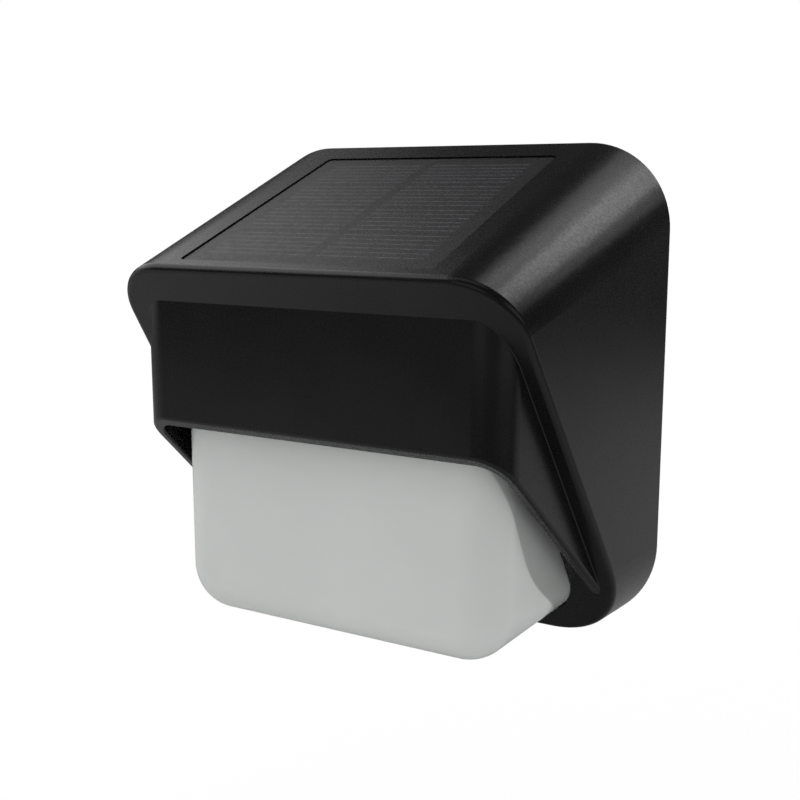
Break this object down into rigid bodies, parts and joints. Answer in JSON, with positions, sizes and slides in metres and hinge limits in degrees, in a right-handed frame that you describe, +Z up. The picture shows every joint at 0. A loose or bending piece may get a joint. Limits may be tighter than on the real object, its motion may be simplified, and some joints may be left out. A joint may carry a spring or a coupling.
{
  "type": "solar fence light",
  "caption": "Solar fence light: black wedge housing with a panel in its sloping roof, a thin visor on its slanted front and a milky box diffuser; hangs on keyholes, push button behind.",
  "frame": {"origin": "on the wall face of the back, on the plane of symmetry, level with the bottom edge", "axes": "+Z up, +Y into the wall that the light hangs on, so the light faces -Y; +X to the right seen from the front"},
  "size_m": [0.104, 0.0643, 0.1068],
  "materials": {
    "housing_black": "satin, finely grained",
    "cover_black": "matte, grained",
    "diffuser_milky": "milky, smooth",
    "reflector_white": "white, matte",
    "seal_rubber": "matte",
    "button_rubber": "matte",
    "tape_grey": "matte foam",
    "panel_dark": "finely textured, semi-matte",
    "cell_silicon": "dark blue-black with silver fingers",
    "board_green": "solder mask",
    "board_white": "white solder mask",
    "led_yellow": "phosphor",
    "chip_black": "matte",
    "coil_ferrite": "matte",
    "capacitor_sleeve": "sleeved can",
    "switch_plastic": "matte",
    "cell_jacket": "shrink sleeve",
    "tray_black": "matte",
    "screw_steel": "plated",
    "contact_nickel": "nickel",
    "lead_insulation": "wire insulation"
  },
  "bodies": {
    "body": {"housing": "housing_black", "back_cover": "cover_black", "diffuser": "diffuser_milky", "reflector": "reflector_white", "cover_seal": "seal_rubber", "diffuser_gasket": "seal_rubber", "panel_tape": "tape_grey", "panel_glaze": "panel_dark", "solar_cells": "cell_silicon", "panel_backing": "board_green", "main_board": "board_green", "led_board": "board_white", "leds": "led_yellow", "controller_chip": "chip_black", "boost_coil": "coil_ferrite", "capacitor": "capacitor_sleeve", "switch_body": "switch_plastic", "battery_cell": "cell_jacket", "battery_tray": "tray_black", "cover_screws": "screw_steel", "reflector_screws": "screw_steel", "led_board_screws": "screw_steel", "main_board_screws": "screw_steel", "battery_contact_positive": "contact_nickel", "battery_contact_negative": "contact_nickel", "panel_leads": "lead_insulation", "led_leads": "lead_insulation", "battery_leads": "lead_insulation"},
    "button": {"push_button": "button_rubber", "switch_plunger": "switch_plastic", "button_o_ring": "seal_rubber"}
  },
  "joints": [
    {"name": "button_press", "type": "slide", "parent": "body", "child": "button", "axis": [0, -1, 0], "range_m": [0, 0.0015], "stiffness_N_per_m": 1200, "springref_m": -0.0006}
  ]
}
